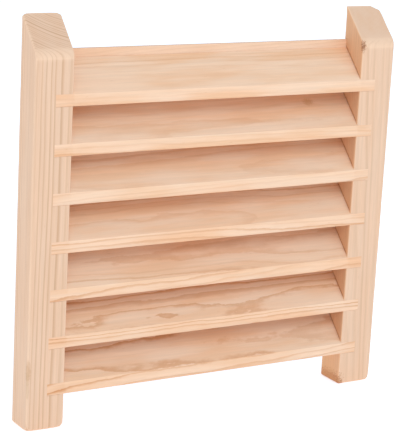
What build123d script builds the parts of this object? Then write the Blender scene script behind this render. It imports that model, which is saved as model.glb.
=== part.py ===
from build123d import *
from math import cos, radians, tan
import os

# Paint rack organizer in unfinished softwood. Seven slanted shelves are housed in the inner
# faces of two upright posts, and a thin panel let into the back closes the bays behind them.
# Frame: +X to the right, +Y towards the back, +Z up, in millimetres. The origin is on the
# floor, midway between the outer sides of the posts and midway through their depth.

# Overall sizes. The height follows from the shelves: see post_back_height below.
overall_width = 305.0
depth = 25.4

# Posts
post_width = 30.0
foot_height = 25.5  # floor to the underside of the lowest shelf, at the front
head_height = 29.0  # top shelf to the front edge of the sloping post end
post_arris = 1.4  # rounding on the edges of a post
brow_arris = 9.0  # fuller rounding where the sloping end meets the front
peak_flat = 0.6  # blunt tip, front to back, that is left of the acute top edge

# Shelves
shelf_count = 7
shelf_pitch = 35.5  # one shelf to the next, straight up the posts
shelf_thickness = 6.4
shelf_slope = 45.0  # degrees above level, rising towards the back
shelf_arris = 0.5  # rounding on the two long front edges of a shelf

# Housings, the slanted grooves that take the shelf ends
housing_depth = 14.0
housing_play = 0.1  # room above a shelf in its housing, for glue
end_play = 0.2  # room at each end of a shelf, for glue

# Back panel, in a stopped rebate as wide as the housings are deep
panel_thickness = 3.0
panel_rise = 6.0  # panel above the back edge of the top shelf
panel_drop = 6.0  # panel below the back edge of the lowest shelf
panel_play = 0.25  # room round the panel in its rebate
panel_arris = 0.4  # rounding along the panel's top edge

# Brads that hold the panel to the posts, one in each bay on each side
brad_diameter = 1.2
brad_length = 12.0
brad_point = 1.5  # length of the tapered point
brad_head_diameter = 2.2
brad_head_thickness = 0.8
brad_hole_spare = 0.5  # hole beyond the point of the brad

# Sizes that follow from the ones above
slope = tan(radians(shelf_slope))
lip_height = shelf_thickness / cos(radians(shelf_slope))  # upright front face of a shelf
housing_height = (shelf_thickness + housing_play) / cos(radians(shelf_slope))
front_y = -depth / 2
back_y = depth / 2
panel_y = back_y - panel_thickness  # front of the panel and back edge of every shelf
inner_x = overall_width / 2 - post_width  # inner face of the right post
shelf_rise = (panel_y - front_y) * slope  # how far a shelf climbs from front to back
top_shelf_z = foot_height + (shelf_count - 1) * shelf_pitch
post_front_height = top_shelf_z + lip_height + head_height
post_back_height = post_front_height + depth * slope
panel_top = top_shelf_z + lip_height + shelf_rise + panel_rise
panel_bottom = foot_height + shelf_rise - panel_drop
panel_middle = (panel_top + panel_bottom) / 2
panel_height = panel_top - panel_bottom
shelf_length = 2 * (inner_x + housing_depth - end_play)
panel_width = 2 * (inner_x + housing_depth - panel_play)
brad_x = inner_x + housing_depth / 2
brad_depth = brad_length - panel_thickness  # length of a brad inside the post

# Heights of the shelves' lower front edges, from the top shelf down
shelf_heights = [top_shelf_z - number * shelf_pitch for number in range(shelf_count)]

# A brad runs level, so halfway along its stretch in the post it is midway between two housings.
brad_lift = lip_height + (panel_y - brad_depth / 2 - front_y) * slope + (shelf_pitch - lip_height) / 2
brad_heights = [height + brad_lift for height in shelf_heights[1:]]

# Planes that face backwards, for what is drilled or driven from behind
panel_back = Plane(origin=(0, back_y, 0), x_dir=(-1, 0, 0), z_dir=(0, 1, 0))
rebate_floor = Plane(origin=(0, panel_y, 0), x_dir=(-1, 0, 0), z_dir=(0, 1, 0))
right_brad_points = [(-brad_x, height) for height in brad_heights]
left_brad_points = [(brad_x, height) for height in brad_heights]

os.makedirs("parts", exist_ok=True)


def strip_corners(start_y, end_y, low_z, height):
    """Corners of a strip that is upright at both ends and climbs at the shelves' slope."""
    start_z = low_z + (start_y - front_y) * slope
    end_z = low_z + (end_y - front_y) * slope
    return [(start_y, start_z), (end_y, end_z), (end_y, end_z + height), (start_y, start_z + height)]


# Right post: a square-cut foot, a sloping top end, and its edges eased before it is grooved.
with BuildPart() as right_post:
    with BuildSketch(Plane.YZ.offset(inner_x)) as post_side:
        with BuildLine():
            Polyline(
                (front_y, 0),
                (back_y, 0),
                (back_y, post_back_height),
                (front_y, post_front_height),
                close=True,
            )
        make_face()
    extrude(amount=post_width)
    brow = right_post.edges().filter_by(Axis.X).group_by(Axis.Y)[0].sort_by(Axis.Z)[-1]
    fillet(brow, radius=brow_arris)
    peak = right_post.edges().filter_by(Axis.X).sort_by(Axis.Z)[-1]
    fillet(right_post.edges() - [peak], radius=post_arris)
    split(bisect_by=Plane.XY.offset(post_back_height - peak_flat * slope), keep=Keep.BOTTOM)
    # The housings run right through from front to back, parallel with the sloping top end.
    for shelf_height in shelf_heights:
        corners = strip_corners(front_y - post_arris, back_y + post_arris, shelf_height, housing_height)
        with BuildSketch(Plane.YZ.offset(inner_x)) as housing:
            with BuildLine():
                Polyline(*corners, close=True)
            make_face()
        extrude(amount=housing_depth, mode=Mode.SUBTRACT)
    # The rebate for the panel stops just above and just below it.
    with BuildSketch(panel_back) as rebate:
        with Locations((-brad_x, panel_middle)):
            Rectangle(housing_depth, panel_height + 2 * panel_play)
    extrude(amount=-panel_thickness, mode=Mode.SUBTRACT)
    with Locations(rebate_floor):
        with Locations(*right_brad_points):
            Hole(radius=brad_diameter / 2, depth=brad_depth + brad_hole_spare)

# Left post: the right post's mirror image.
with BuildPart() as left_post:
    mirror(right_post.part, about=Plane.YZ)

# Shelves: strips ripped at the slope angle, so that their front and back edges stand upright.
# The front edges are flush with the posts, and the back edges meet the panel.
shelves = []
for shelf_height in shelf_heights:
    with BuildPart() as shelf:
        with BuildSketch(Plane.YZ.offset(-shelf_length / 2)) as shelf_section:
            with BuildLine():
                Polyline(*strip_corners(front_y, panel_y, shelf_height, lip_height), close=True)
            make_face()
        extrude(amount=shelf_length)
        front_edges = shelf.edges().filter_by(Axis.X).group_by(Axis.Y)[0]
        fillet(front_edges, radius=shelf_arris)
    shelves.append(shelf)

# Back panel: a thin board, flush with the backs of the posts, with sunk holes for the brads.
with BuildPart() as back_panel:
    with BuildSketch(panel_back) as panel_outline:
        with Locations((0, panel_middle)):
            Rectangle(panel_width, panel_height)
    extrude(amount=-panel_thickness)
    top_edges = back_panel.edges().filter_by(Axis.X).group_by(Axis.Z)[-1]
    fillet(top_edges, radius=panel_arris)
    with Locations(panel_back):
        with Locations(*right_brad_points, *left_brad_points):
            CounterBoreHole(
                radius=brad_diameter / 2,
                counter_bore_radius=brad_head_diameter / 2,
                counter_bore_depth=brad_head_thickness,
                depth=panel_thickness,
            )

# Panel brads: plain steel wire with a flat head and a tapered point, driven flush from behind.
with BuildPart() as panel_brads:
    with BuildSketch(Plane.XY) as half_brad:
        with BuildLine():
            Polyline(
                (0, 0),
                (brad_head_diameter / 2, 0),
                (brad_head_diameter / 2, -brad_head_thickness),
                (brad_diameter / 2, -brad_head_thickness),
                (brad_diameter / 2, brad_point - brad_length),
                (0, -brad_length),
                close=True,
            )
        make_face()
    brad = revolve(axis=Axis.Y, mode=Mode.PRIVATE).rotate(Axis.X, 90)
    with Locations(panel_back):
        with Locations(*right_brad_points, *left_brad_points):
            add(brad)

# Labels and files, one for each piece
pieces = {
    "left_post": left_post.part,
    "right_post": right_post.part,
    "back_panel": back_panel.part,
    "panel_brads": panel_brads.part,
}
for number, shelf in enumerate(shelves, start=1):
    pieces[f"shelf_{number}"] = shelf.part
for name, piece in pieces.items():
    piece.label = name
    export_step(piece, f"parts/{name}.step")
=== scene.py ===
import math
import random

import bmesh
import bpy
import numpy as np
from mathutils import Matrix, Vector, noise


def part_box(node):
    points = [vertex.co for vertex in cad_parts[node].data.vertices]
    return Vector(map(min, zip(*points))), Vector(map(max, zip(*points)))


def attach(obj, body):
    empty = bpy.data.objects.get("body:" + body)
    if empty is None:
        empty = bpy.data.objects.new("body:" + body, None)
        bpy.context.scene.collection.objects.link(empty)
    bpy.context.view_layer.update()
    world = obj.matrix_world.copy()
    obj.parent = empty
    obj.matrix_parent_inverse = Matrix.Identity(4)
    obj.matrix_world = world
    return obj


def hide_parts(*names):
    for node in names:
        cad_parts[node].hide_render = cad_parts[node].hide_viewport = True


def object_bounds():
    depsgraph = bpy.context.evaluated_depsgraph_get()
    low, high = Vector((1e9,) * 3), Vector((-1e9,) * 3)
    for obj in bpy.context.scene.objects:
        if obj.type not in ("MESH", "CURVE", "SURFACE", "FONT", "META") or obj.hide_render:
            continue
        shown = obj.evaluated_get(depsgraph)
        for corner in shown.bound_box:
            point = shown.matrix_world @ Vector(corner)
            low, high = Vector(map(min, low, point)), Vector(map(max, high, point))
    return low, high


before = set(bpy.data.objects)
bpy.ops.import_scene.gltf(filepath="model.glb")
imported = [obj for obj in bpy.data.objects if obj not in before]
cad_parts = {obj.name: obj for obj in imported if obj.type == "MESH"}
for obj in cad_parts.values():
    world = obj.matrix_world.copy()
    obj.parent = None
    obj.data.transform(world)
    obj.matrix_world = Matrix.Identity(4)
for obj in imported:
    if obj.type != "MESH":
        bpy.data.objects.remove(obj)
cad_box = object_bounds()
MM = 0.001


# ---- The softwood that every board is sawn from ----------------------------------------------
# Bare, sanded fir in its natural peach colour. The growth rings run right through the stock, so
# a straight-grained face, a wavy flat-sawn face and an end all show the same rings, cut three ways.

def node(tree, kind, feeds=None, **settings):
    """A node of that kind. feeds gives its sockets a value, or a socket to be fed from."""
    made = tree.nodes.new(kind)
    for name, value in settings.items():
        setattr(made, name, value)
    for name, value in (feeds or {}).items():
        if isinstance(value, bpy.types.NodeSocket):
            tree.links.new(value, made.inputs[name])
        else:
            made.inputs[name].default_value = value
    return made


def sums(tree, operation, first, second=0.0, third=0.0):
    """One step of arithmetic between sockets or numbers."""
    feeds = dict(enumerate((first, second, third)))
    return node(tree, "ShaderNodeMath", feeds, operation=operation).outputs[0]


def ramp(tree, value, start, end):
    """A mask that rises smoothly from 0 at start to 1 at end."""
    feeds = {"Value": value, "From Min": start, "From Max": end}
    made = node(tree, "ShaderNodeMapRange", feeds, interpolation_type="SMOOTHSTEP")
    return made.outputs["Result"]


def blend(tree, share, first, second, mode="MIX"):
    """Colours mixed by a share from 0 to 1."""
    feeds = {0: share, 6: first, 7: second}
    made = node(tree, "ShaderNodeMix", feeds, data_type="RGBA", blend_type=mode)
    return made.outputs[2]


def group_of_nodes(name, inputs, outputs):
    """An empty shader node group with its named sockets, and the sockets inside it."""
    tree = bpy.data.node_groups.new(name, "ShaderNodeTree")
    for label, kind, value in inputs:
        socket = tree.interface.new_socket(label, in_out="INPUT", socket_type=kind)
        if value is not None:
            socket.default_value = value
    for label, kind in outputs:
        tree.interface.new_socket(label, in_out="OUTPUT", socket_type=kind)
    return tree, tree.nodes.new("NodeGroupInput").outputs, tree.nodes.new("NodeGroupOutput").inputs


def use(tree, group, feeds):
    """A node group placed in a material or in another group."""
    return node(tree, "ShaderNodeGroup", feeds, node_tree=group).outputs


FLOAT = "NodeSocketFloat"
VECTOR = "NodeSocketVector"
COLOUR = "NodeSocketColor"


def stretched(tree, vector, across, along, shift=0.0):
    """A pattern's coordinates, that many metres to one repeat across the grain and along it."""
    size = node(tree, "ShaderNodeCombineXYZ", {"X": across, "Y": across, "Z": along})
    feeds = {0: vector, 1: size.outputs[0]}
    made = node(tree, "ShaderNodeVectorMath", feeds, operation="DIVIDE")
    move = node(tree, "ShaderNodeCombineXYZ", {"X": shift, "Y": shift, "Z": shift})
    feeds = {0: made.outputs[0], 1: move.outputs[0]}
    return node(tree, "ShaderNodeVectorMath", feeds, operation="ADD").outputs[0]


def cloud(tree, vector, detail=2.0, roughness=0.5):
    """Soft noise from 0 to 1."""
    feeds = {"Vector": vector, "Scale": 1.0, "Detail": detail, "Roughness": roughness}
    return node(tree, "ShaderNodeTexNoise", feeds, noise_dimensions="3D").outputs


def growth_rings():
    """Rings round a pith that runs along Z: a mask that is dark in each ring's latewood."""
    tree, given, result = group_of_nodes(
        "growth rings",
        [
            ("Vector", VECTOR, None),
            ("Ring Width", FLOAT, 2 * MM),
            ("Wander", FLOAT, 1 * MM),
            ("Wander Size", FLOAT, 20 * MM),
            ("Ripple", FLOAT, 0.0),
            ("Latewood", FLOAT, 0.35),
            ("Seed", FLOAT, 0.0),
        ],
        [("Latewood", FLOAT)],
    )
    along = sums(tree, "MULTIPLY", given["Wander Size"], 5.0)
    spot = stretched(tree, given["Vector"], given["Wander Size"], along, given["Seed"])
    drift = cloud(tree, spot, 2.5, 0.55)["Color"]
    feeds = {0: drift, 1: (0.5, 0.5, 0.5)}
    centred = node(tree, "ShaderNodeVectorMath", feeds, operation="SUBTRACT").outputs[0]
    reach = sums(tree, "MULTIPLY", given["Wander"], 4.0)
    feeds = {0: centred, "Scale": reach}
    push = node(tree, "ShaderNodeVectorMath", feeds, operation="SCALE").outputs[0]
    feeds = {0: given["Vector"], 1: push}
    bent = node(tree, "ShaderNodeVectorMath", feeds, operation="ADD").outputs[0]
    spot = stretched(tree, given["Vector"], 4.5 * MM, 11 * MM, given["Seed"])
    small = sums(tree, "SUBTRACT", cloud(tree, spot, 3.0, 0.6)["Fac"], 0.5)
    feeds = {0: bent, 1: (1.0, 1.0, 0.0)}
    flat = node(tree, "ShaderNodeVectorMath", feeds, operation="MULTIPLY").outputs[0]
    radius = node(tree, "ShaderNodeVectorMath", {0: flat}, operation="LENGTH").outputs["Value"]
    radius = sums(tree, "MULTIPLY_ADD", small, given["Ripple"], radius)
    count = sums(tree, "DIVIDE", radius, given["Ring Width"])
    slow = sums(tree, "MULTIPLY_ADD", count, 0.31, given["Seed"])
    uneven = node(tree, "ShaderNodeTexNoise", {"W": slow, "Scale": 1.0}, noise_dimensions="1D")
    count = sums(tree, "MULTIPLY_ADD", uneven.outputs["Fac"], 1.6, count)
    part = sums(tree, "FRACT", count)
    number = sums(tree, "ADD", sums(tree, "FLOOR", count), given["Seed"])
    season = node(tree, "ShaderNodeTexWhiteNoise", {"W": number}, noise_dimensions="1D")
    tone = sums(tree, "POWER", season.outputs["Value"], 1.5)
    tone = sums(tree, "MULTIPLY_ADD", tone, 0.7, 0.3)
    start = sums(tree, "SUBTRACT", 1.0, given["Latewood"])
    late = ramp(tree, part, sums(tree, "SUBTRACT", start, 0.3), sums(tree, "ADD", start, 0.1))
    early_again = ramp(tree, part, 0.9, 1.0)
    late = sums(tree, "SUBTRACT", late, early_again)
    late = sums(tree, "MAXIMUM", late, 0.0)
    tree.links.new(sums(tree, "MULTIPLY", late, tone), result["Latewood"])
    return tree


def wood_fibres():
    """The fine streaks along the grain, and the short dark lines of the resin ducts."""
    tree, given, result = group_of_nodes(
        "wood fibres",
        [("Vector", VECTOR, None), ("Seed", FLOAT, 0.0)],
        [("Streaks", FLOAT), ("Ducts", FLOAT)],
    )
    fine = stretched(tree, given["Vector"], 0.35 * MM, 14 * MM, given["Seed"])
    broad = stretched(tree, given["Vector"], 1.8 * MM, 70 * MM, given["Seed"])
    fine = cloud(tree, fine, 2.0, 0.6)["Fac"]
    broad = cloud(tree, broad, 2.0, 0.5)["Fac"]
    tree.links.new(sums(tree, "MULTIPLY_ADD", fine, 0.5, sums(tree, "MULTIPLY", broad, 0.5)),
                   result["Streaks"])
    spot = stretched(tree, given["Vector"], 1.9 * MM, 16 * MM, given["Seed"])
    duct = node(tree, "ShaderNodeTexVoronoi", {"Vector": spot, "Scale": 1.0})
    near = sums(tree, "SUBTRACT", 1.0, ramp(tree, duct.outputs["Distance"], 0.05, 0.11))
    rare = ramp(tree, cloud(tree, spot, 1.0, 0.5)["Fac"], 0.5, 0.62)
    tree.links.new(sums(tree, "MULTIPLY", near, rare), result["Ducts"])
    return tree


def sanded_fir():
    """The board's colour, roughness and surface height from its rings, fibres and patches."""
    tree, given, result = group_of_nodes(
        "sanded fir",
        [
            ("Vector", VECTOR, None),
            ("Early Colour", COLOUR, (0.8, 0.56, 0.4, 1.0)),
            ("Late Colour", COLOUR, (0.6, 0.35, 0.2, 1.0)),
            ("Ring Width", FLOAT, 2 * MM),
            ("Wander", FLOAT, 1 * MM),
            ("Wander Size", FLOAT, 20 * MM),
            ("Ripple", FLOAT, 0.0),
            ("Latewood", FLOAT, 0.35),
            ("Contrast", FLOAT, 0.5),
            ("Patches", FLOAT, 0.3),
            ("Arris", FLOAT, 0.0),
            ("End Grain", FLOAT, 0.0),
            ("End Rings", FLOAT, 1.0),
            ("Seed", FLOAT, 0.0),
        ],
        [("Colour", COLOUR), ("Roughness", FLOAT), ("Height", FLOAT)],
    )
    names = ("Vector", "Ring Width", "Wander", "Wander Size", "Ripple", "Latewood", "Seed")
    rings = use(tree, RINGS, {name: given[name] for name in names})
    fibres = use(tree, FIBRES, {name: given[name] for name in ("Vector", "Seed")})
    fade = sums(tree, "MULTIPLY", sums(tree, "SUBTRACT", 1.0, given["End Rings"]),
                given["End Grain"])
    depth = sums(tree, "MULTIPLY", rings["Latewood"], given["Contrast"])
    depth = sums(tree, "MULTIPLY", depth, sums(tree, "SUBTRACT", 1.0, fade))
    colour = blend(tree, depth, given["Early Colour"], given["Late Colour"])
    spot = stretched(tree, given["Vector"], 11 * MM, 75 * MM, given["Seed"])
    warm = ramp(tree, cloud(tree, spot, 2.0, 0.55)["Fac"], 0.35, 0.68)
    warm = sums(tree, "MULTIPLY", warm, given["Patches"])
    colour = blend(tree, warm, colour, (0.96, 0.84, 0.72, 1.0), "MULTIPLY")
    spot = stretched(tree, given["Vector"], 19 * MM, 130 * MM, given["Seed"])
    rosy = ramp(tree, cloud(tree, spot, 1.0, 0.5)["Fac"], 0.42, 0.66)
    rosy = sums(tree, "MULTIPLY", rosy, given["Patches"])
    colour = blend(tree, rosy, colour, (1.0, 0.955, 0.92, 1.0), "MULTIPLY")
    plain = sums(tree, "SUBTRACT", fibres["Streaks"], 0.5)
    plain = sums(tree, "MULTIPLY", plain, sums(tree, "SUBTRACT", 1.0, given["End Grain"]))
    light = sums(tree, "MULTIPLY_ADD", plain, 0.34, 1.0)
    grey = node(tree, "ShaderNodeCombineColor", {"Red": light, "Green": light, "Blue": light})
    colour = blend(tree, 1.0, colour, grey.outputs[0], "MULTIPLY")
    ducts = sums(tree, "MULTIPLY", fibres["Ducts"], 0.35)
    colour = blend(tree, ducts, colour, given["Late Colour"])
    # Painted highlight: the arrises are lightened and warmed, partly as burnished sanded wood and
    # partly as the bright line that light leaves along them.
    edge = sums(tree, "MULTIPLY", given["Arris"], 0.4)
    colour = blend(tree, edge, colour, (0.98, 0.67, 0.44, 1.0))
    tree.links.new(colour, result["Colour"])
    rough = sums(tree, "MULTIPLY_ADD", rings["Latewood"], -0.12, 0.74)
    rough = sums(tree, "MULTIPLY_ADD", given["Arris"], -0.1, rough)
    rough = sums(tree, "MULTIPLY_ADD", plain, 0.2, rough)
    tree.links.new(rough, result["Roughness"])
    height = sums(tree, "MULTIPLY_ADD", rings["Latewood"], 0.5, fibres["Streaks"])
    height = sums(tree, "SUBTRACT", height, fibres["Ducts"])
    tree.links.new(height, result["Height"])
    return tree


def stain_spot():
    """A ragged spot such as a pitch mark, a fleck or a saw's scorch, as a mask."""
    tree, given, result = group_of_nodes(
        "stain spot",
        [
            ("Vector", VECTOR, None),
            ("Place", VECTOR, None),
            ("Half Size", VECTOR, (MM, MM, MM)),
            ("Raggedness", FLOAT, 0.5),
            ("Grain Size", FLOAT, 1 * MM),
        ],
        [("Mask", FLOAT)],
    )
    feeds = {0: given["Vector"], 1: given["Place"]}
    away = node(tree, "ShaderNodeVectorMath", feeds, operation="SUBTRACT").outputs[0]
    feeds = {0: away, 1: given["Half Size"]}
    away = node(tree, "ShaderNodeVectorMath", feeds, operation="DIVIDE").outputs[0]
    far = node(tree, "ShaderNodeVectorMath", {0: away}, operation="LENGTH").outputs["Value"]
    spot = stretched(tree, given["Vector"], given["Grain Size"], given["Grain Size"])
    rag = sums(tree, "SUBTRACT", cloud(tree, spot, 3.0, 0.65)["Fac"], 0.5)
    far = sums(tree, "MULTIPLY_ADD", rag, sums(tree, "MULTIPLY", given["Raggedness"], 3.0), far)
    tree.links.new(sums(tree, "SUBTRACT", 1.0, ramp(tree, far, 0.5, 1.15)), result["Mask"])
    return tree


RINGS = growth_rings()
FIBRES = wood_fibres()
FIR = sanded_fir()
STAIN = stain_spot()
EARLY = (0.82, 0.54, 0.355, 1.0)
LATE = (0.57, 0.31, 0.16, 1.0)


def painted_joint_shade():
    """Painted shade: dark ragged lines on an inner face, one along the top of each of a
    row of slanting shelves where it meets the face, as a mask."""
    tree, given, result = group_of_nodes(
        "painted joint shade",
        [
            ("Vector", VECTOR, None),
            ("Face X", FLOAT, 0.0),
            ("First Height", FLOAT, 0.0),
            ("Pitch", FLOAT, 35 * MM),
            ("Slope", FLOAT, 1.0),
            ("Front", FLOAT, 0.0),
            ("Half Width", FLOAT, 0.6 * MM),
        ],
        [("Mask", FLOAT)],
    )
    axes = node(tree, "ShaderNodeSeparateXYZ", {0: given["Vector"]}).outputs
    rise = sums(tree, "MULTIPLY", axes["Y"], given["Slope"])
    rise = sums(tree, "SUBTRACT", sums(tree, "SUBTRACT", axes["Z"], rise), given["First Height"])
    row = sums(tree, "ROUND", sums(tree, "DIVIDE", rise, given["Pitch"]))
    row = sums(tree, "MAXIMUM", row, 0.0)
    off = sums(tree, "ABSOLUTE", sums(tree, "SUBTRACT", rise,
                                      sums(tree, "MULTIPLY", row, given["Pitch"])))
    rag = cloud(tree, stretched(tree, given["Vector"], 1.3 * MM, 1.3 * MM), 3.0, 0.7)["Fac"]
    wide = sums(tree, "MULTIPLY", given["Half Width"], sums(tree, "MULTIPLY", rag, 2.4))
    line = sums(tree, "SUBTRACT", 1.0, ramp(tree, sums(tree, "DIVIDE", off, wide), 0.5, 1.2))
    inward = sums(tree, "ABSOLUTE", sums(tree, "SUBTRACT", axes["X"], given["Face X"]))
    line = sums(tree, "MULTIPLY", line, sums(tree, "LESS_THAN", inward, 1.3 * MM))
    behind = ramp(tree, sums(tree, "SUBTRACT", axes["Y"], given["Front"]), 1.5 * MM, 3.5 * MM)
    tree.links.new(sums(tree, "MULTIPLY", line, behind), result["Mask"])
    return tree


# Painted shade along the shelves' joints on the posts' inner faces, and its dark brown colour.
JOINT_SHADE = painted_joint_shade()
JOINT_SHADE_COLOUR = (0.46, 0.17, 0.05, 1.0)
# Painted shade: a darker, warmer tint for the faces that look inwards between the posts.
INWARD_SHADE_TINT = (0.94, 0.80, 0.66, 1.0)


def wood_material(name, pith, heading, look, stains=(), glue_lines=(), inner=None):
    """Sanded fir whose pith runs through that point, along that heading. look is how its rings
    and patches show, stains are its spots, glue_lines the Y of a plywood's joints, and inner
    what the painted joint shade on a post's inner face is given, which also paints shade on
    the post's inward faces."""
    material = bpy.data.materials.new(name)
    material.use_nodes = True
    tree = material.node_tree
    tree.nodes.clear()
    place = tree.nodes.new("ShaderNodeTexCoord")
    turn = Vector(heading).to_track_quat("Z", "Y").to_euler()
    feeds = {"Vector": place.outputs["Object"], "Location": pith, "Rotation": turn}
    grain = node(tree, "ShaderNodeMapping", feeds, vector_type="TEXTURE").outputs[0]
    feeds = {0: place.outputs["Normal"], 1: Vector(heading).normalized()}
    facing = node(tree, "ShaderNodeVectorMath", feeds, operation="DOT_PRODUCT").outputs["Value"]
    end_grain = ramp(tree, sums(tree, "ABSOLUTE", facing), 0.35, 0.65)
    arris = node(tree, "ShaderNodeAttribute", attribute_name="arris").outputs["Fac"]
    feeds = {"Vector": grain, "Arris": arris, "End Grain": end_grain, **look}
    fir = use(tree, FIR, feeds)
    colour = fir["Colour"]
    for y, half, tint in glue_lines:
        axes = node(tree, "ShaderNodeSeparateXYZ", {0: place.outputs["Object"]})
        off = sums(tree, "ABSOLUTE", sums(tree, "SUBTRACT", axes.outputs["Y"], y))
        line = sums(tree, "SUBTRACT", 1.0, ramp(tree, off, 0.8 * half, 1.2 * half))
        colour = blend(tree, line, colour, tint, "MULTIPLY")
    if inner:
        # Painted shade: faces that look inwards, between the posts, are tinted darker and warmer,
        # as the shelves and the other post shade them.
        axes = node(tree, "ShaderNodeSeparateXYZ", {0: place.outputs["Normal"]}).outputs
        towards = sums(tree, "MULTIPLY", axes["X"], -1.0 if inner["Face X"] > 0 else 1.0)
        inward_shade = ramp(tree, towards, 0.6, 0.95)
        colour = blend(tree, inward_shade, colour, INWARD_SHADE_TINT, "MULTIPLY")
        # Painted shade: a dark brown line where each shelf meets the inner face, deepening the
        # shadow of the sawn gap there.
        shade_line = use(tree, JOINT_SHADE, {"Vector": place.outputs["Object"], **inner})["Mask"]
        shade_line = sums(tree, "MULTIPLY", shade_line, 0.75)
        colour = blend(tree, shade_line, colour, JOINT_SHADE_COLOUR)
    for spot, half_size, raggedness, grain_size, tint, depth in stains:
        feeds = {"Vector": place.outputs["Object"], "Place": spot, "Half Size": half_size,
                 "Raggedness": raggedness, "Grain Size": grain_size}
        mask = sums(tree, "MULTIPLY", use(tree, STAIN, feeds)["Mask"], depth)
        colour = blend(tree, mask, colour, tint)
    feeds = {"Height": fir["Height"], "Strength": 0.35, "Distance": 0.12 * MM}
    bump = node(tree, "ShaderNodeBump", feeds).outputs[0]
    feeds = {"Base Color": colour, "Roughness": fir["Roughness"], "Normal": bump,
             "Specular IOR Level": 0.35}
    shader = node(tree, "ShaderNodeBsdfPrincipled", feeds)
    finish = tree.nodes.new("ShaderNodeOutputMaterial")
    tree.links.new(shader.outputs[0], finish.inputs["Surface"])
    return material


# ---- The two side posts -----------------------------------------------------------------------
# Straight-grained fir uprights with a square foot and a sloping top, every arris eased by hand
# with sandpaper. Seven slanting housings for the shelves are sawn through the inner face, and a
# stopped rebate for the back board is cut in the rear.

SHELVES = sorted(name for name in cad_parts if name.startswith("shelf_"))
SLOPE = math.radians(45)
POST_ARRIS = 1.4 * MM
BROW_ARRIS = 9.0 * MM
BROW_STEPS = 6
PEAK_FLAT = 0.6 * MM
PEAK_ARRIS = 0.25 * MM
PEAK_REACH = 5.0 * MM
SHELF_ARRIS = 0.5 * MM
HOUSING_PLAY = 0.02 * MM
PANEL_PLAY = 0.25 * MM
PLANING = 0.05 * MM
PLANING_SIZE = 17 * MM
WEAR_SIZE = 13 * MM
ROW_STEP = 2.5 * MM
MERGE = 0.01 * MM
SHARPEST_SMOOTH = math.radians(38)
EASING_LINES = [distance * MM for distance in (0.25, 0.55, 0.9, 1.35, 1.9, 2.6, 3.4)]
SMALLEST_PLANED_FACE = 100 * MM * MM
ARRIS_REACH = 1.3


def linked(name, mesh):
    """A new object at the origin that shows this mesh."""
    made = bpy.data.objects.new(name, mesh)
    bpy.context.scene.collection.objects.link(made)
    return made


def bar(outline, x_from, x_to):
    """A closed bar with that outline in Y and Z, from one X to another."""
    made = bmesh.new()
    ends = [[made.verts.new((x, y, z)) for y, z in outline] for x in (x_from, x_to)]
    for i in range(len(outline)):
        j = (i + 1) % len(outline)
        made.faces.new((ends[0][i], ends[0][j], ends[1][j], ends[1][i]))
    made.faces.new(ends[0])
    made.faces.new(ends[1])
    bmesh.ops.recalc_face_normals(made, faces=made.faces)
    return made


def post_outline(low, high, blunt):
    """The post's side view: foot front, foot back, sharp or blunt peak, and down the brow."""
    peak = high.z + PEAK_FLAT * math.tan(SLOPE)
    brow = peak - (high.y - low.y) * math.tan(SLOPE)
    run = BROW_ARRIS * math.tan(SLOPE / 2)
    corners = [(low.y, low.z), (high.y, low.z)]
    corners += [(high.y, high.z), (high.y - PEAK_FLAT, high.z)] if blunt else [(high.y, peak)]
    for step in range(BROW_STEPS + 1):
        turn = SLOPE * (1 - step / BROW_STEPS)
        corners.append((low.y + BROW_ARRIS * (1 - math.cos(turn)),
                        brow - run + BROW_ARRIS * math.sin(turn)))
    return [Vector(corner) for corner in corners]


def shrunk(outline):
    """For each corner, how far it moves when every side moves in by one."""
    moves = []
    for i, corner in enumerate(outline):
        before = (corner - outline[i - 1]).normalized()
        after = (outline[(i + 1) % len(outline)] - corner).normalized()
        out_before = Vector((before.y, -before.x))
        out_after = Vector((after.y, -after.x))
        moves.append(-(out_before + out_after) / (1 + out_before.dot(out_after)))
    return moves


def nearest_inside(point, corners):
    """The nearest point of a convex outline, which is the point itself if it is inside."""
    best = None
    inside = True
    for i, start in enumerate(corners):
        side = corners[(i + 1) % len(corners)] - start
        away = point - start
        if side.y * away.x - side.x * away.y > 0:
            inside = False
        share = min(max(away.dot(side) / side.length_squared, 0), 1)
        found = start + share * side
        if best is None or (found - point).length < (best - point).length:
            best = found
    return point.copy() if inside else best


def ease_arrises(body, low, high, radius_at):
    """Rounds every edge of the sharp bar to the radius at that spot, and leaves the faces with
    the faint hollows of hand planing. A radius that is wider than the blunt peak swallows it."""
    blunt, sharp = [(outline, shrunk(outline)) for outline in
                    (post_outline(low, high, True), post_outline(low, high, False))]
    widest = PEAK_FLAT / (1 + math.tan(SLOPE / 2))
    for vert in body.verts:
        spot = vert.co.copy()
        radius = radius_at(spot)
        outline, moves = sharp if radius > widest else blunt
        corners = [corner + radius * move for corner, move in zip(outline, moves)]
        core_yz = nearest_inside(Vector((spot.y, spot.z)), corners)
        core_x = min(max(spot.x, low.x + radius), high.x - radius)
        core = Vector((core_x, core_yz.x, core_yz.y))
        hollow = PLANING * (0.5 + 0.5 * noise.noise(spot / PLANING_SIZE))
        vert.co = core + (spot - core).normalized() * (radius - hollow)


def closed_lump(place, half_size, seed):
    """A ragged lump, used to break a chip out of an arris."""
    lump = bmesh.new()
    bmesh.ops.create_icosphere(lump, subdivisions=3, radius=1)
    for vert in lump.verts:
        rough = 1 + 0.45 * noise.noise(vert.co * 1.7 + Vector((seed, 0, 0)))
        rough += 0.2 * noise.noise(vert.co * 5 + Vector((0, seed, 0)))
        vert.co = Vector(place) + vert.co * rough * Vector(half_size)
    return lump


def to_mesh(name, *parts):
    """One mesh from these loose parts."""
    whole = bmesh.new()
    for part in parts:
        scrap = bpy.data.meshes.new("scrap")
        part.to_mesh(scrap)
        part.free()
        whole.from_mesh(scrap)
        bpy.data.meshes.remove(scrap)
    mesh = bpy.data.meshes.new(name)
    whole.to_mesh(mesh)
    whole.free()
    return mesh


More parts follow.
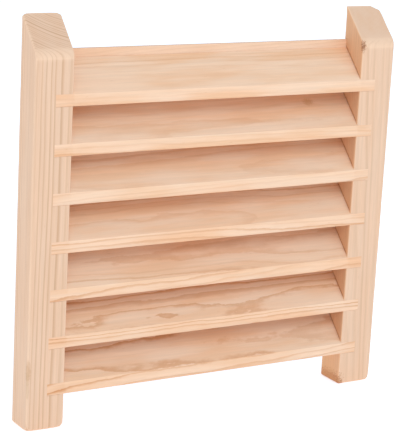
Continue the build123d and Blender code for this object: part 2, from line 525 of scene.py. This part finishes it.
def cut_away(piece, cuts):
    """The piece's mesh once each of these lots of closed parts is cut out of it."""
    tools = []
    for parts in cuts:
        tool = linked("cutter", to_mesh("cutter", *parts))
        step = piece.modifiers.new("cut", "BOOLEAN")
        step.operation = "DIFFERENCE"
        step.solver = "EXACT"
        step.object = tool
        tools.append(tool)
    sight = bpy.context.evaluated_depsgraph_get()
    mesh = bpy.data.meshes.new_from_object(piece.evaluated_get(sight))
    piece.modifiers.clear()
    for tool in tools:
        bpy.data.meshes.remove(tool.data)
    return mesh


def mark_arrises(mesh, edges, reach):
    """Writes the mask "arris" on a mesh: 1 on these edges, falling to 0 at that distance."""
    spots = np.zeros(len(mesh.vertices) * 3)
    mesh.vertices.foreach_get("co", spots)
    spots = spots.reshape(-1, 3)
    nearest = np.full(len(spots), np.inf)
    for start, end in edges:
        start = np.array(start)
        side = np.array(end) - start
        share = np.clip((spots - start) @ side / (side @ side), 0, 1)
        gap = np.linalg.norm(spots - start - share[:, None] * side, axis=1)
        nearest = np.minimum(nearest, gap)
    mask = np.clip(1 - nearest / reach, 0, 1)
    layer = mesh.attributes.new("arris", "FLOAT", "POINT")
    layer.data.foreach_set("value", (mask * mask * (3 - 2 * mask)).astype(np.float32))


def finish_mesh(piece, material):
    """Gives the piece its one material, and shading that is flat on its faces, round on its
    arrises and broken at its sharp edges."""
    mesh = piece.data
    mesh.materials.clear()
    mesh.materials.append(material)
    for face in mesh.polygons:
        face.material_index = 0
    mesh.shade_smooth()
    mesh.set_sharp_from_angle(angle=SHARPEST_SMOOTH)
    even = piece.modifiers.new("even", "WEIGHTED_NORMAL")
    even.keep_sharp = True
    sight = bpy.context.evaluated_depsgraph_get()
    piece.data = bpy.data.meshes.new_from_object(piece.evaluated_get(sight))
    piece.modifiers.clear()
    bpy.data.meshes.remove(mesh)
    piece.data.name = piece.name


def bored(place, radius, depth):
    """A round hole that starts behind the given point and runs forwards."""
    hole = bmesh.new()
    bmesh.ops.create_cone(hole, cap_ends=True, segments=24, radius1=radius, radius2=radius,
                          depth=depth + MM)
    lay = Matrix.Translation((0, -depth / 2 + MM / 2, 0)) @ Matrix.Rotation(math.pi / 2, 4, "X")
    bmesh.ops.transform(hole, matrix=Matrix.Translation(place) @ lay, verts=hole.verts)
    return hole


panel_low, panel_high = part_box("back_panel")
brads_low, brads_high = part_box("panel_brads")
BRAD_HEAD = 1.1 * MM
BRAD_SHAFT = 0.6 * MM
BRAD_LENGTH = brads_high.y - brads_low.y
shelf_tops = sorted(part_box(name)[0].z for name in SHELVES)
SHELF_PITCH = (shelf_tops[-1] - shelf_tops[0]) / (len(SHELVES) - 1)
BRUISE_BACK = 1.6 * MM
BRUISE_RISE = 0.45 * MM
BRUISE_DEPTH = 1.0 * MM
brad_rows = [brads_low.z + BRAD_HEAD + SHELF_PITCH * row for row in range(len(SHELVES) - 1)]


def shelf_outline(name):
    """A shelf's sharp section: lower front, lower back, upper back and upper front corners."""
    low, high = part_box(name)
    foot = low.z - SHELF_ARRIS * (math.tan(SLOPE) + 1 / math.cos(SLOPE) - 1)
    rise = (high.y - low.y) * math.tan(SLOPE)
    return [Vector(corner) for corner in
            ((low.y, foot), (high.y, foot + rise), (high.y, high.z), (low.y, high.z - rise))]


def slanting_cut(name, y_from, y_to, below, above, x_from, x_to):
    """A bar along a shelf's slope, from below its under face to above its upper face."""
    outline = []
    for y, corner, room in ((y_from, 0, -below), (y_to, 0, -below), (y_to, 3, above),
                            (y_from, 3, above)):
        start = shelf_outline(name)[corner]
        outline.append(Vector((y, start.y + (y - start.x) * math.tan(SLOPE) + room)))
    return bar(outline, min(x_from, x_to), max(x_from, x_to))


def housing(name, low, high, inner_is_high):
    """The slanting cut that takes one shelf's end."""
    shelf_low, shelf_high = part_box(name)
    blind = shelf_low.x - HOUSING_PLAY if inner_is_high else shelf_high.x + HOUSING_PLAY
    mouth = high.x + MM if inner_is_high else low.x - MM
    return slanting_cut(name, low.y - MM, panel_low.y + MM, HOUSING_PLAY, HOUSING_PLAY,
                        blind, mouth)


def bruise(name, low, high, inner_is_high):
    """Where the saw broke the inner face's edge along the top of a housing, behind the front."""
    face = high.x if inner_is_high else low.x
    inward = -1 if inner_is_high else 1
    return slanting_cut(name, low.y + BRUISE_BACK, panel_low.y + MM, -BRUISE_RISE, BRUISE_RISE,
                        face + inward * BRUISE_DEPTH, face - inward * MM)


def rebate(low, high, inner_is_high):
    """The step in the post's rear that takes the back board."""
    y_from = panel_low.y
    y_to = panel_high.y + MM
    z_from = panel_low.z - PANEL_PLAY
    z_to = panel_high.z + PANEL_PLAY
    outline = [Vector(corner) for corner in
               ((y_from, z_from), (y_to, z_from), (y_to, z_to), (y_from, z_to))]
    if inner_is_high:
        return bar(outline, panel_low.x - PANEL_PLAY, high.x + MM)
    return bar(outline, low.x - MM, panel_high.x + PANEL_PLAY)


def build_post(node_name, piece_name, material, worn, chips, seed):
    """One post. worn lists (corner, radius, reach) where it is rounded more than elsewhere, and
    chips lists (place, half size) of what has broken out of it."""
    low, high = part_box(node_name)
    inner_is_high = low.x + high.x < 0
    outline = post_outline(low, high, True)
    peak = Vector((high.y, high.z))

    def radius_at(spot):
        wander = max(noise.noise(spot / WEAR_SIZE + Vector((seed, 0, 0))), 0)
        radius = POST_ARRIS * (1 + 0.4 * wander)
        near = min((Vector((spot.y, spot.z)) - peak).length / PEAK_REACH, 1)
        radius = PEAK_ARRIS + (radius - PEAK_ARRIS) * near
        for corner, extra, reach in worn:
            near = (spot - Vector(corner)).length / reach
            radius += extra * max(1 - near, 0) ** 2
        return radius

    body = bar(outline, low.x, high.x)
    planes = [(face.calc_center_median(), face.normal.copy()) for face in body.faces
              if face.calc_area() > SMALLEST_PLANED_FACE]
    cuts = [(centre - normal * line, normal) for centre, normal in planes for line in EASING_LINES]
    middle = (low + high) / 2
    for share in (-0.25, 0.0, 0.25):
        cuts.append((middle + Vector((share * (high.x - low.x), 0, 0)), Vector((1, 0, 0))))
        cuts.append((middle + Vector((0, share * (high.y - low.y), 0)), Vector((0, 1, 0))))
    rows = int((high.z - low.z) / ROW_STEP)
    cuts += [(Vector((0, 0, low.z + row * ROW_STEP)), Vector((0, 0, 1))) for row in range(2, rows)]
    for centre, normal in cuts:
        everything = body.verts[:] + body.edges[:] + body.faces[:]
        bmesh.ops.bisect_plane(body, geom=everything, dist=MERGE,
                               plane_co=centre, plane_no=normal)
    ease_arrises(body, low, high, radius_at)
    piece = linked(piece_name, to_mesh(piece_name, body))
    side = -1 if inner_is_high else 1
    brad_x = side * (brads_high.x - BRAD_HEAD)
    holes = [bored((brad_x, panel_low.y + MM, z), BRAD_SHAFT, BRAD_LENGTH) for z in brad_rows]
    lots = [
        [rebate(low, high, inner_is_high)],
        [housing(name, low, high, inner_is_high) for name in SHELVES],
        [bruise(name, low, high, inner_is_high) for name in SHELVES],
        holes,
    ]
    lots += [[closed_lump(place, half, seed + i)] for i, (place, half) in enumerate(chips)]
    sharp = piece.data
    piece.data = cut_away(piece, lots)
    bpy.data.meshes.remove(sharp)
    corners = [[(x, corner.x, corner.y) for corner in outline] for x in (low.x, high.x)]
    edges = [(ring[i - 1], ring[i]) for ring in corners for i in range(len(ring))]
    edges += list(zip(*corners))
    mark_arrises(piece.data, edges, ARRIS_REACH * POST_ARRIS)
    finish_mesh(piece, material)
    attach(piece, "root")
    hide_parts(node_name)
    return piece


left_low, left_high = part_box("left_post")
right_low, right_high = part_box("right_post")
left_middle = (left_low + left_high) / 2
right_middle = (right_low + right_high) / 2

lowest_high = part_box(SHELVES[-1])[1]
joints = {"First Height": lowest_high.z - lowest_high.y * math.tan(SLOPE), "Pitch": SHELF_PITCH,
          "Slope": math.tan(SLOPE), "Front": left_low.y, "Half Width": 1.6 * MM}

# A small pitch mark darkens the left post's outer front arris above the foot, with a faint run.
pitch_at = Vector((left_low.x, left_low.y, left_low.z + 46 * MM))
left_stains = [
    (pitch_at, (3.0 * MM, 3.0 * MM, 10 * MM), 0.35, 2.5 * MM, (0.54, 0.28, 0.12, 1.0), 0.45),
    (pitch_at - Vector((0, 0, 12 * MM)), (1.8 * MM, 1.8 * MM, 14 * MM), 0.3, 3.0 * MM,
     (0.52, 0.33, 0.17, 1.0), 0.3),
]
left_wood = wood_material(
    "left_post_fir",
    pith=left_middle + Vector((40 * MM, 104 * MM, 0)),
    heading=(0.004, 0.003, 1.0),
    look={"Early Colour": EARLY, "Late Colour": LATE, "Ring Width": 1.5 * MM,
          "Wander": 0.3 * MM, "Wander Size": 26 * MM, "Latewood": 0.22, "Contrast": 0.7,
          "End Rings": 1.0, "Patches": 0.25, "Seed": 3.0},
    stains=left_stains, inner={"Face X": left_high.x, **joints},
)

# The right post is softer in its stripes. The saw scorched and furred its foot's inner edge, and
# dark crumbs sit in the chip at the top of its inner front arris.
scorch_at = Vector((right_low.x, right_middle.y, right_low.z))
chip_at = Vector((right_low.x, right_low.y, right_high.z - (right_high.y - right_low.y)))
right_stains = [
    (scorch_at, (5.0 * MM, 30 * MM, 9.0 * MM), 0.8, 1.2 * MM, (0.42, 0.12, 0.03, 1.0), 0.85),
    (scorch_at + Vector((0, 5 * MM, 0)), (6.0 * MM, 20 * MM, 22 * MM), 0.4, 5.0 * MM,
     (0.74, 0.40, 0.18, 1.0), 0.4),
    (chip_at + Vector((0.6 * MM, 0.6 * MM, -1.5 * MM)), (2.6 * MM, 2.2 * MM, 5.5 * MM), 0.9,
     0.9 * MM, (0.34, 0.12, 0.04, 1.0), 0.75),
]
right_wood = wood_material(
    "right_post_fir",
    pith=right_middle + Vector((-22 * MM, 62 * MM, 0)),
    heading=(-0.01, 0.012, 1.0),
    look={"Early Colour": EARLY, "Late Colour": LATE, "Ring Width": 1.8 * MM,
          "Wander": 0.5 * MM, "Wander Size": 30 * MM, "Latewood": 0.3, "Contrast": 0.36,
          "End Rings": 0.15, "Patches": 0.3, "Seed": 11.0},
    stains=right_stains, inner={"Face X": right_low.x, **joints},
)
build_post(
    "left_post", "post_left", left_wood,
    worn=[
        (left_low, 3.0 * MM, 9 * MM),
        (Vector((left_high.x, left_low.y, left_low.z)), 2.4 * MM, 8 * MM),
        (Vector((left_low.x, left_high.y, left_high.z)), 1.2 * MM, 6 * MM),
        (left_high, 1.2 * MM, 6 * MM),
    ],
    chips=[], seed=1.5,
)
build_post(
    "right_post", "post_right", right_wood,
    worn=[
        (right_high, 3.4 * MM, 10 * MM),
        (Vector((right_high.x, right_low.y, right_low.z)), 2.0 * MM, 9 * MM),
    ],
    chips=[
        (chip_at + Vector((0.4 * MM, 0.6 * MM, 0)), (1.9 * MM, 1.4 * MM, 2.6 * MM)),
        (chip_at + Vector((2.6 * MM, -0.2 * MM, -3.0 * MM)), (1.5 * MM, 0.9 * MM, 2.2 * MM)),
    ] + [
        (scorch_at + Vector((0, share * 9.5 * MM, 0)), (0.9 * MM, 1.7 * MM, 1.1 * MM))
        for share in (-1.0, -0.55, -0.2, 0.3, 0.75)
    ],
    seed=7.5,
)


# ---- The seven shelves ------------------------------------------------------------------------
# Thin flat-sawn slats that lean back at forty-five degrees, their front and back edges planed
# upright. Each slides into its pair of housings, and its ends show flush in the posts' fronts.

EASED_ARRIS = 0.2 * MM
BOARD_ROW_STEP = 3 * MM
UNEVENNESS = 0.04 * MM
FLECKED_SHELF = 2
SHELF_EARLY = (0.90, 0.61, 0.41, 1.0)
SHELF_LATE = (0.62, 0.245, 0.065, 1.0)


def thin_board_tree():
    """Sweeps an outline with eased corners along X, and makes its faces very slightly uneven."""
    tree = bpy.data.node_groups.new("thin board", "GeometryNodeTree")
    face = tree.interface
    for label, kind, value in (
        ("Length", FLOAT, 0.1), ("Corner 1", VECTOR, None), ("Corner 2", VECTOR, None),
        ("Corner 3", VECTOR, None), ("Corner 4", VECTOR, None), ("Arris", FLOAT, MM),
        ("Row Step", FLOAT, 3 * MM), ("Unevenness", FLOAT, 0.05 * MM), ("Seed", FLOAT, 0.0),
        ("Material", "NodeSocketMaterial", None),
    ):
        socket = face.new_socket(label, in_out="INPUT", socket_type=kind)
        if value is not None:
            socket.default_value = value
    face.new_socket("Geometry", in_out="OUTPUT", socket_type="NodeSocketGeometry")
    given = tree.nodes.new("NodeGroupInput").outputs
    outline = node(tree, "GeometryNodeCurvePrimitiveQuadrilateral", mode="POINTS")
    for i in range(1, 5):
        tree.links.new(given[f"Corner {i}"], outline.inputs[f"Point {i}"])
    feeds = {"Curve": outline.outputs[0], "Count": 5, "Radius": given["Arris"]}
    eased = node(tree, "GeometryNodeFilletCurve", feeds, mode="POLY")
    half = sums(tree, "MULTIPLY", given["Length"], 0.5)
    start = node(tree, "ShaderNodeCombineXYZ", {"Z": sums(tree, "MULTIPLY", half, -1.0)})
    end = node(tree, "ShaderNodeCombineXYZ", {"Z": half})
    feeds = {"Start": start.outputs[0], "End": end.outputs[0]}
    path = node(tree, "GeometryNodeCurvePrimitiveLine", feeds)
    path = node(tree, "GeometryNodeResampleCurve",
                {"Curve": path.outputs[0], "Length": given["Row Step"]}, mode="LENGTH")
    feeds = {"Curve": path.outputs[0], "Profile Curve": eased.outputs[0], "Fill Caps": True}
    swept = node(tree, "GeometryNodeCurveToMesh", feeds)
    feeds = {"Geometry": swept.outputs[0], "Rotation": (math.pi / 2, 0, math.pi / 2)}
    laid = node(tree, "GeometryNodeTransform", feeds)
    here = tree.nodes.new("GeometryNodeInputPosition").outputs[0]
    spot = stretched(tree, here, 24 * MM, 24 * MM, given["Seed"])
    dip = sums(tree, "MULTIPLY", cloud(tree, spot)["Fac"], given["Unevenness"])
    dip = sums(tree, "MULTIPLY", dip, -1.0)
    outward = tree.nodes.new("GeometryNodeInputNormal").outputs["Normal"]
    feeds = {0: outward, "Scale": dip}
    shift = node(tree, "ShaderNodeVectorMath", feeds, operation="SCALE").outputs[0]
    moved = node(tree, "GeometryNodeSetPosition", {"Geometry": laid.outputs[0], "Offset": shift})
    real = node(tree, "GeometryNodeRealizeInstances", {"Geometry": moved.outputs[0]})
    painted = node(tree, "GeometryNodeSetMaterial",
                   {"Geometry": real.outputs[0], "Material": given["Material"]})
    tree.links.new(painted.outputs[0], tree.nodes.new("NodeGroupOutput").inputs[0])
    return tree


def grown(name, tree, values):
    """A plain mesh object from a geometry tree with these input values."""
    piece = linked(name, bpy.data.meshes.new("seedling"))
    step = piece.modifiers.new("grow", "NODES")
    step.node_group = tree
    sockets = {item.name: item.identifier for item in tree.interface.items_tree
               if item.in_out == "INPUT"}
    for label, value in values.items():
        step[sockets[label]] = value
    sight = bpy.context.evaluated_depsgraph_get()
    mesh = bpy.data.meshes.new_from_object(piece.evaluated_get(sight))
    piece.modifiers.clear()
    empty = piece.data
    piece.data = mesh
    bpy.data.meshes.remove(empty)
    mesh.name = name
    return piece


THIN_BOARD = thin_board_tree()


def build_board(piece_name, node_name, outline, arris, seed, material, cuts=()):
    """One thin board with that outline in Y and Z, as long as its CAD node. cuts are the lots of
    parts that are cut out of it."""
    low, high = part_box(node_name)
    length = high.x - low.x
    values = {f"Corner {i + 1}": (y, z, 0.0) for i, (y, z) in enumerate(outline)}
    values.update({"Length": length, "Arris": arris, "Row Step": BOARD_ROW_STEP,
                   "Unevenness": UNEVENNESS, "Seed": seed, "Material": material})
    piece = grown(piece_name, THIN_BOARD, values)
    if cuts:
        whole = piece.data
        piece.data = cut_away(piece, cuts)
        bpy.data.meshes.remove(whole)
    edges = [((left_high.x, y, z), (right_low.x, y, z)) for y, z in outline]
    mark_arrises(piece.data, edges, ARRIS_REACH * arris)
    finish_mesh(piece, material)
    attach(piece, "root")
    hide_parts(node_name)
    return piece


for number, name in enumerate(SHELVES, start=1):
    low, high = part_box(name)
    chance = random.Random(39 + number)
    # The lower shelves were cut nearer the heart, so their figure is bolder.
    bold = (number - 1) / (len(SHELVES) - 1)
    depth = chance.uniform(34, 50) * MM
    middle = (low + high) / 2
    pith = middle + Vector((chance.uniform(-60, 60) * MM, depth * 0.7, -depth * 0.7))
    pith += chance.uniform(-9, 9) * MM * Vector((0, 1, 1)).normalized()
    tilt = chance.choice((-1, 1)) * chance.uniform(0.006, 0.016)
    yaw = chance.uniform(-0.014, 0.014)
    spots = []
    if number == FLECKED_SHELF:
        # A few brown flecks lie near the right end of the second shelf.
        fleck = Vector((low.x + 0.818 * (high.x - low.x), 0.76 * high.y + 0.24 * low.y, 0))
        fleck.z = high.z - (high.y - fleck.y) * math.tan(SLOPE)
        spots.append((fleck, (5.0 * MM, 3.4 * MM, 3.4 * MM), 0.95, 0.8 * MM,
                      (0.60, 0.26, 0.08, 1.0), 0.5))
    wood = wood_material(
        f"{name}_fir", stains=spots, pith=pith, heading=(1.0, tilt + yaw, tilt - yaw),
        look={"Early Colour": SHELF_EARLY, "Late Colour": SHELF_LATE,
              "Ring Width": chance.uniform(2.0, 2.7) * MM, "Wander": (1.0 + 0.5 * bold) * MM,
              "Wander Size": 22 * MM, "Ripple": (0.6 + 0.5 * bold) * MM, "Latewood": 0.18,
              "Contrast": 0.26 + 0.64 * bold, "Patches": 1.0, "Seed": 13.0 + 7 * number},
    )
    build_board(f"shelf_board_{number}", name, shelf_outline(name), EASED_ARRIS,
                number - 1.0, wood)


# ---- The back board ---------------------------------------------------------------------------
# A sheet of three-ply with fir faces, let into the posts' rebates behind the shelves. Its edges
# show the three veneers and the two glue lines, and its back the holes that the brads fill.

PANEL_ARRIS = 0.4 * MM
HEAD_DEPTH = 0.8 * MM
HEAD_PLAY = 0.06 * MM
ply = (panel_high.y - panel_low.y) / 3
panel_outline = [
    (panel_low.y, panel_low.z), (panel_high.y, panel_low.z),
    (panel_high.y, panel_high.z), (panel_low.y, panel_high.z),
]
panel_wood = wood_material(
    "back_board_ply",
    pith=Vector((18 * MM, panel_low.y - 150 * MM, 0)),
    heading=(1.0, 0.05, 0.03),
    look={"Early Colour": (0.90, 0.59, 0.39, 1.0), "Late Colour": (0.62, 0.34, 0.18, 1.0),
          "Ring Width": 2.6 * MM, "Wander": 2.4 * MM, "Wander Size": 60 * MM, "Latewood": 0.3,
          "Contrast": 0.25, "Patches": 0.5, "Seed": 90.0},
    glue_lines=[
        ((panel_low.y + panel_high.y) / 2, ply / 2, (0.86, 0.8, 0.74, 1.0)),
        (panel_low.y + ply, 0.08 * MM, (0.5, 0.36, 0.25, 1.0)),
        (panel_high.y - ply, 0.08 * MM, (0.5, 0.36, 0.25, 1.0)),
    ],
)
brad_places = [Vector((side * (brads_high.x - BRAD_HEAD), panel_high.y, z))
               for side in (-1, 1) for z in brad_rows]
build_board(
    "back_board", "back_panel", panel_outline, PANEL_ARRIS, 9.0, panel_wood,
    cuts=[
        [bored(place, BRAD_HEAD + HEAD_PLAY, HEAD_DEPTH) for place in brad_places],
        [bored(place, BRAD_SHAFT, panel_high.y - panel_low.y + MM) for place in brad_places],
    ],
)


# ---- The panel brads --------------------------------------------------------------------------
# Dulled steel wire brads that hold the back board to the posts, six to a side. They are driven
# until the small domed heads lie flush with the board.

def brad_tree():
    """A brad by its outline of radius against length, repeated on a grid of two columns."""
    tree = bpy.data.node_groups.new("driven brads", "GeometryNodeTree")
    face = tree.interface
    for label, kind, value in (
        ("Spread", FLOAT, 0.2), ("Row Step", FLOAT, 0.03), ("Rows", "NodeSocketInt", 6),
        ("Head Radius", FLOAT, MM), ("Shaft Radius", FLOAT, MM), ("Head Depth", FLOAT, MM),
        ("Point Length", FLOAT, MM), ("Length", FLOAT, 10 * MM), ("Middle", VECTOR, None),
        ("Material", "NodeSocketMaterial", None),
    ):
        socket = face.new_socket(label, in_out="INPUT", socket_type=kind)
        if value is not None:
            socket.default_value = value
    face.new_socket("Geometry", in_out="OUTPUT", socket_type="NodeSocketGeometry")
    given = tree.nodes.new("NodeGroupInput").outputs
    grid = node(tree, "GeometryNodeMeshGrid",
                {"Size X": given["Spread"], "Vertices X": 2, "Vertices Y": given["Rows"]})
    height = sums(tree, "SUBTRACT", given["Rows"], 1.0)
    tree.links.new(sums(tree, "MULTIPLY", height, given["Row Step"]), grid.inputs["Size Y"])
    feeds = {"Geometry": grid.outputs[0], "Translation": given["Middle"],
             "Rotation": (math.pi / 2, 0, 0)}
    stood = node(tree, "GeometryNodeTransform", feeds)
    tip = node(tree, "ShaderNodeCombineXYZ", {"Y": sums(tree, "MULTIPLY", given["Length"], -1.0)})
    feeds = {"Start": (0, 0, 0), "End": tip.outputs[0]}
    wire = node(tree, "GeometryNodeCurvePrimitiveLine", feeds)
    wire = node(tree, "GeometryNodeResampleCurve", {"Curve": wire.outputs[0], "Count": 97})
    along = tree.nodes.new("GeometryNodeSplineParameter").outputs["Length"]
    crown = ramp(tree, along, -0.1 * MM, 0.12 * MM)
    crown = sums(tree, "MULTIPLY", crown, given["Head Radius"])
    under = sums(tree, "SUBTRACT", given["Head Depth"], 0.3 * MM)
    neck = ramp(tree, along, under, given["Head Depth"])
    slim = sums(tree, "SUBTRACT", given["Head Radius"], given["Shaft Radius"])
    girth = sums(tree, "SUBTRACT", crown, sums(tree, "MULTIPLY", neck, slim))
    left = sums(tree, "SUBTRACT", given["Length"], along)
    taper = sums(tree, "DIVIDE", left, given["Point Length"])
    taper = sums(tree, "MINIMUM", sums(tree, "MAXIMUM", taper, 0.03), 1.0)
    girth = sums(tree, "MULTIPLY", girth, taper)
    ring = node(tree, "GeometryNodeCurvePrimitiveCircle", {"Resolution": 20, "Radius": 1.0})
    feeds = {"Curve": wire.outputs[0], "Profile Curve": ring.outputs[0], "Fill Caps": True}
    swept = node(tree, "GeometryNodeCurveToMesh", feeds)
    tree.links.new(girth, swept.inputs["Scale"])
    feeds = {"Points": stood.outputs[0], "Instance": swept.outputs[0]}
    placed = node(tree, "GeometryNodeInstanceOnPoints", feeds)
    real = node(tree, "GeometryNodeRealizeInstances", {"Geometry": placed.outputs[0]})
    painted = node(tree, "GeometryNodeSetMaterial",
                   {"Geometry": real.outputs[0], "Material": given["Material"]})
    tree.links.new(painted.outputs[0], tree.nodes.new("NodeGroupOutput").inputs[0])
    return tree


def brad_steel():
    """Drawn wire, a little dulled, with the marks of the hammer on its heads."""
    material = bpy.data.materials.new("brad_wire")
    material.use_nodes = True
    tree = material.node_tree
    tree.nodes.clear()
    place = tree.nodes.new("ShaderNodeTexCoord").outputs["Object"]
    dull = ramp(tree, cloud(tree, stretched(tree, place, 0.5 * MM, 0.5 * MM), 3.0)["Fac"],
                0.35, 0.7)
    colour = blend(tree, dull, (0.42, 0.41, 0.39, 1.0), (0.24, 0.22, 0.19, 1.0))
    rough = sums(tree, "MULTIPLY_ADD", dull, 0.25, 0.28)
    marks = cloud(tree, stretched(tree, place, 0.18 * MM, 0.18 * MM), 3.0)["Fac"]
    bump = node(tree, "ShaderNodeBump", {"Height": marks, "Strength": 0.3, "Distance": 0.05 * MM})
    feeds = {"Base Color": colour, "Roughness": rough, "Metallic": 1.0, "Normal": bump.outputs[0]}
    shader = node(tree, "ShaderNodeBsdfPrincipled", feeds)
    finish = tree.nodes.new("ShaderNodeOutputMaterial")
    tree.links.new(shader.outputs[0], finish.inputs["Surface"])
    return material


brads_middle = (brads_low + brads_high) / 2
brads = grown("brads", brad_tree(), {
    "Spread": brads_high.x - brads_low.x - 2 * BRAD_HEAD,
    "Row Step": SHELF_PITCH,
    "Rows": len(brad_rows),
    "Head Radius": BRAD_HEAD,
    "Shaft Radius": BRAD_SHAFT,
    "Head Depth": HEAD_DEPTH,
    "Point Length": 1.5 * MM,
    "Length": BRAD_LENGTH,
    "Middle": (brads_middle.x, brads_high.y, brads_middle.z),
    "Material": brad_steel(),
})
finish_mesh(brads, brads.data.materials[0])
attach(brads, "root")
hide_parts("panel_brads")


# ---- The studio -------------------------------------------------------------------------------
# A pale seamless floor lit a little from below, a soft lamp high in front, a wider and cooler one
# at the left side, and an even, faintly blue sky.

FLOOR_HALF = 9.0
FLOOR_GAP = 0.05 * MM
rack_middle = (cad_box[0] + cad_box[1]) / 2


def floor_paper():
    """Matt white paper on a light table, its tone varying by a hair."""
    material = bpy.data.materials.new("studio_paper")
    material.use_nodes = True
    tree = material.node_tree
    tree.nodes.clear()
    place = tree.nodes.new("ShaderNodeTexCoord").outputs["Object"]
    tone = cloud(tree, stretched(tree, place, 0.4, 0.4))["Fac"]
    colour = blend(tree, tone, (0.95, 0.95, 0.95, 1.0), (0.97, 0.97, 0.97, 1.0))
    feeds = {"Base Color": colour, "Roughness": 0.9, "Specular IOR Level": 0.1,
             "Emission Color": (0.83, 0.9, 1.0, 1.0), "Emission Strength": 0.42}
    shader = node(tree, "ShaderNodeBsdfPrincipled", feeds)
    finish = tree.nodes.new("ShaderNodeOutputMaterial")
    tree.links.new(shader.outputs[0], finish.inputs["Surface"])
    return material


paper = bmesh.new()
bmesh.ops.create_grid(paper, x_segments=8, y_segments=8, size=FLOOR_HALF)
floor = linked("floor", to_mesh("floor", paper))
floor.data.transform(Matrix.Translation((0, 0, cad_box[0].z - FLOOR_GAP)))
floor.data.materials.append(floor_paper())

sky = bpy.data.worlds.new("soft_sky")
sky.use_nodes = True
sky.node_tree.nodes["Background"].inputs["Color"].default_value = (0.80, 0.885, 1.0, 1.0)
sky.node_tree.nodes["Background"].inputs["Strength"].default_value = 0.86
bpy.context.scene.world = sky


def soft_lamp(name, bearing, height, distance, size, power, colour):
    """A square soft lamp aimed at the rack, from that bearing left of the front."""
    data = bpy.data.lights.new(name, "AREA")
    data.shape = "SQUARE"
    data.size = size
    data.energy = power
    data.color = colour
    lamp = bpy.data.objects.new(name, data)
    bpy.context.scene.collection.objects.link(lamp)
    turn = math.radians(bearing)
    lift = math.radians(height)
    away = Vector((-math.sin(turn) * math.cos(lift), -math.cos(turn) * math.cos(lift),
                   math.sin(lift)))
    lamp.location = rack_middle + away * distance
    lamp.rotation_euler = away.to_track_quat("Z", "Y").to_euler()
    return lamp


soft_lamp("key_lamp", bearing=6, height=40, distance=3.0, size=1.2, power=20,
          colour=(0.83, 0.905, 1.0))
soft_lamp("side_lamp", bearing=100, height=14, distance=2.5, size=1.5, power=7,
          colour=(0.77, 0.87, 1.0))

scene = bpy.context.scene
scene.view_settings.view_transform = "Standard"
scene.view_settings.look = "None"


# ---- The camera -------------------------------------------------------------------------------
# It stands about four feet off at the left front, a little above the rack, and is held a few
# degrees out of level.

CAMERA_PLACE = Vector((-0.6475, -1.0715, 0.4579))
CAMERA_YAW = math.radians(30.897)
CAMERA_DIP = math.radians(14.128)
CAMERA_ROLL = math.radians(3.008)
SENSOR = 36.0
LENS = 153.04

view = bpy.data.cameras.new("camera")
view.sensor_fit = "HORIZONTAL"
view.sensor_width = SENSOR
view.lens = LENS
view.clip_start = 0.01
view.clip_end = 50.0
camera = bpy.data.objects.new("camera", view)
bpy.context.scene.collection.objects.link(camera)
aim = (Matrix.Rotation(-CAMERA_YAW, 4, "Z")
       @ Matrix.Rotation(math.pi / 2 - CAMERA_DIP, 4, "X")
       @ Matrix.Rotation(CAMERA_ROLL, 4, "Z"))
camera.matrix_world = Matrix.Translation(CAMERA_PLACE) @ aim
scene.camera = camera

bpy.context.view_layer.update()
